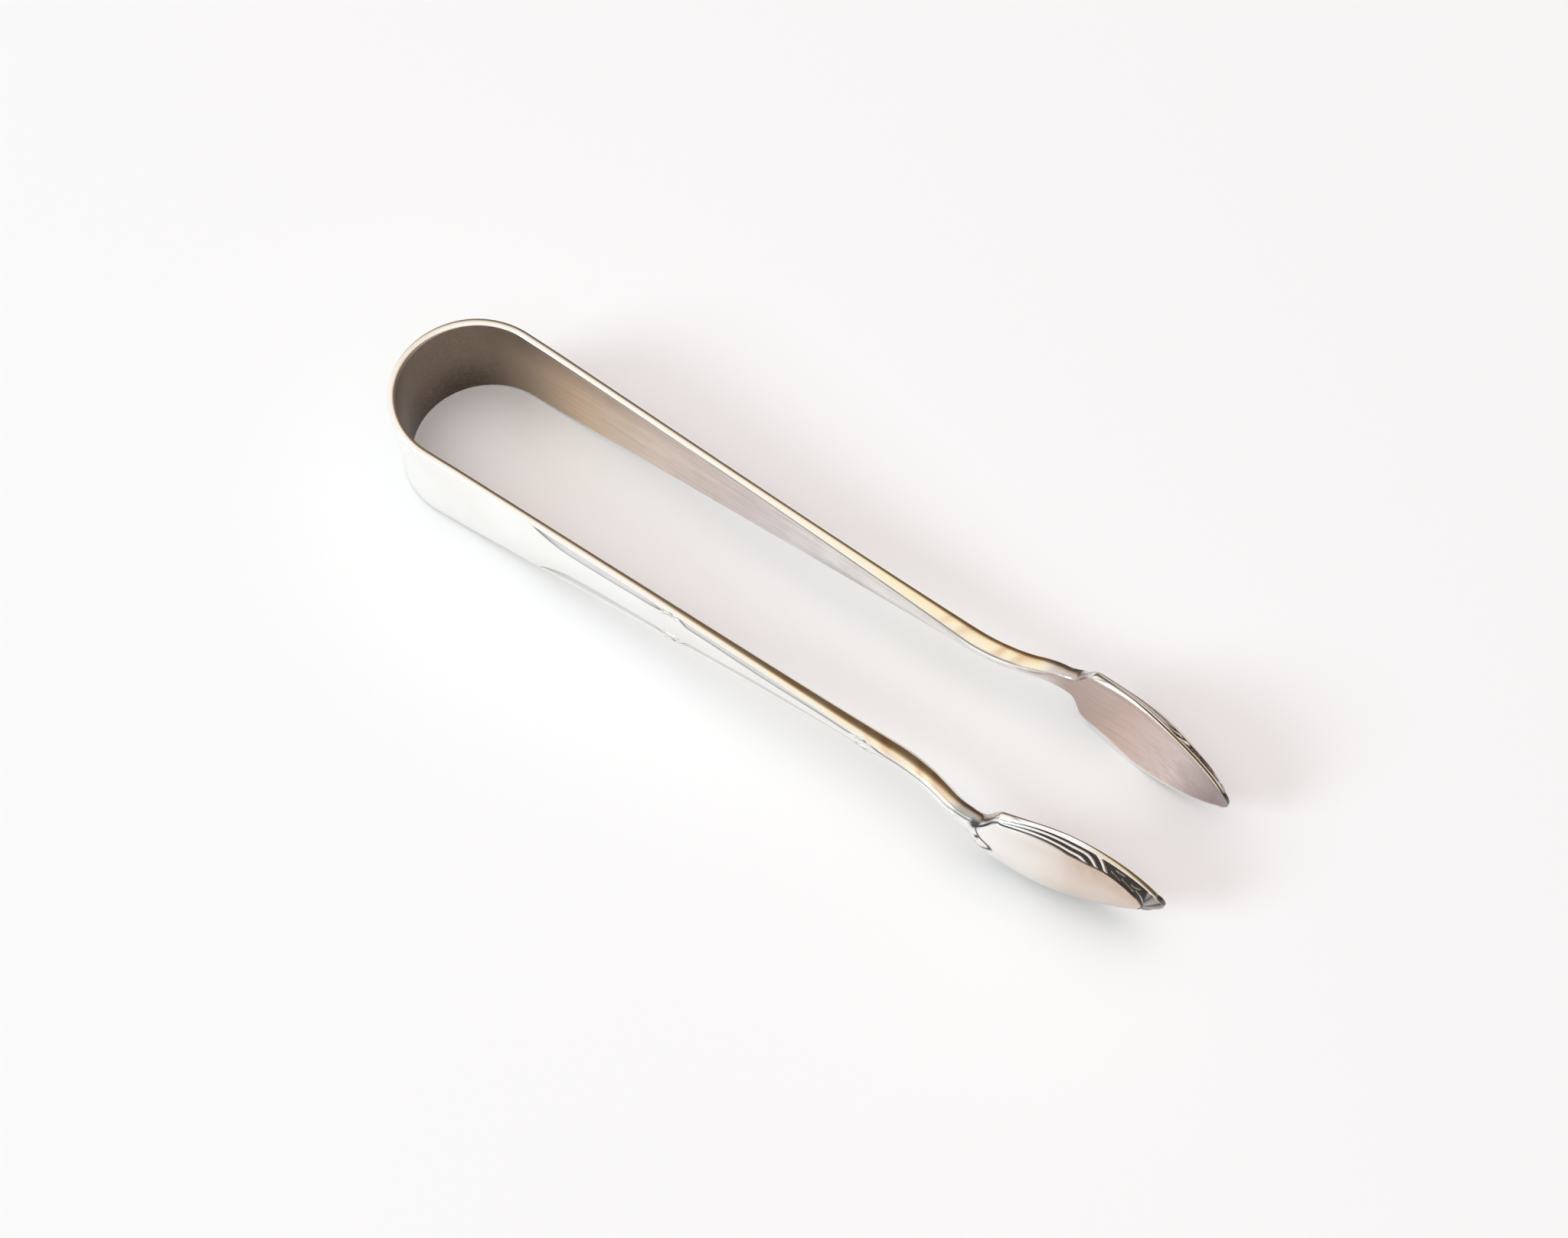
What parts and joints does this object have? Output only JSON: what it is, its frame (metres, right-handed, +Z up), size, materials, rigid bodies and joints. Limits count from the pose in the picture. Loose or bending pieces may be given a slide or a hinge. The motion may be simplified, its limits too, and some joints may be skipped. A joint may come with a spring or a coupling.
{
  "type": "sugar tongs",
  "caption": "Sprung sugar tongs: a wide thin bow, two tapering fluted arms and leaf-shaped grips with reeded borders that pinch together and spring back.",
  "frame": {"origin": "on the surface that the tongs lie on, under the middle of their length and width", "axes": "+X from the bow to the tips, +Y to the left arm, +Z up, across the width of the strip"},
  "size_m": [0.109, 0.0244, 0.014],
  "materials": {
    "silver_plate": "worn polished silver plate"
  },
  "bodies": {
    "bow": {"bow": "silver_plate"},
    "left_side": {"left_arm": "silver_plate", "left_grip": "silver_plate"},
    "right_side": {"right_arm": "silver_plate", "right_grip": "silver_plate"}
  },
  "joints": [
    {"name": "left_flex", "type": "hinge", "parent": "bow", "child": "left_side", "pos_m": [-0.04004, 0.00916, 0.007], "axis": [0, 0, -1], "range_deg": [0, 3.9], "stiffness_Nm_per_rad": 2.6},
    {"name": "right_flex", "type": "hinge", "parent": "bow", "child": "right_side", "pos_m": [-0.04004, -0.00916, 0.007], "axis": [0, 0, 1], "range_deg": [0, 3.9], "stiffness_Nm_per_rad": 2.6}
  ],
  "couplings": [
    {"joint": "right_flex", "follows": "left_flex", "ratio": 1}
  ]
}
